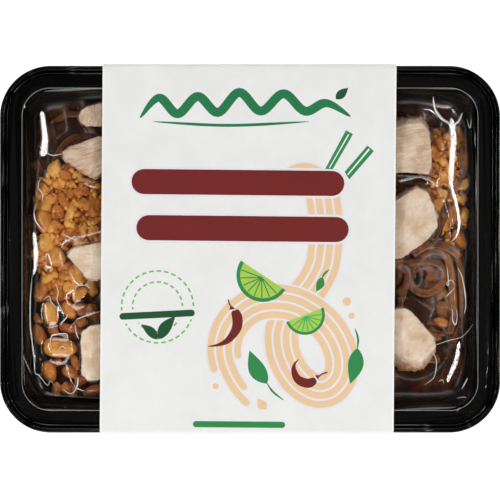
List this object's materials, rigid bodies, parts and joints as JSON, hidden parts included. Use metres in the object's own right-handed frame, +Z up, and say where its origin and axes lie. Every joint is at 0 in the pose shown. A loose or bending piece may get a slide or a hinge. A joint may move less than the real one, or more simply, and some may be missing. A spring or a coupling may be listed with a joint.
{
  "type": "pad thai ready meal",
  "caption": "Shut ready meal of pad thai: noodles, chicken and peanuts in a black plastic tray under clear clinging film, with a printed card sleeve round its middle.",
  "frame": {"origin": "middle of the pack's footprint, on the surface it stands on", "axes": "+X along the tray's long side and the sleeve's width, +Y across the tray, +Z up, square to the flange"},
  "size_m": [0.187, 0.1386, 0.0378],
  "materials": {
    "tray_plastic": "fine matt black plastic, slightly shiny on its edges",
    "sleeve_card": "off-white coated card with a plain printed pattern",
    "clear_film": "clear clinging plastic film, glossy and creased",
    "sauced_noodles": "translucent brown rice noodles in dark sauce, wet",
    "cooked_chicken": "pale cooked chicken with a fine grain",
    "crushed_peanut": "golden brown crumbly nut in sauce",
    "roast_peanut": "golden brown roast peanut, glazed with sauce"
  },
  "bodies": {
    "root": {"tray": "tray_plastic", "sleeve": "sleeve_card", "film_lid": "clear_film", "noodle_bed": "sauced_noodles", "chicken_a": "cooked_chicken", "chicken_b": "cooked_chicken", "chicken_c": "cooked_chicken", "chicken_d": "cooked_chicken", "chicken_e": "cooked_chicken", "chicken_f": "cooked_chicken", "chicken_g": "cooked_chicken", "crushed_peanut_left": "crushed_peanut", "crushed_peanut_right": "crushed_peanut", "peanut_01": "roast_peanut", "peanut_02": "roast_peanut", "peanut_03": "roast_peanut", "peanut_04": "roast_peanut", "peanut_05": "roast_peanut", "peanut_06": "roast_peanut", "peanut_07": "roast_peanut", "peanut_08": "roast_peanut", "peanut_09": "roast_peanut", "peanut_10": "roast_peanut", "peanut_11": "roast_peanut", "peanut_12": "roast_peanut", "peanut_13": "roast_peanut", "peanut_14": "roast_peanut"}
  },
  "joints": []
}
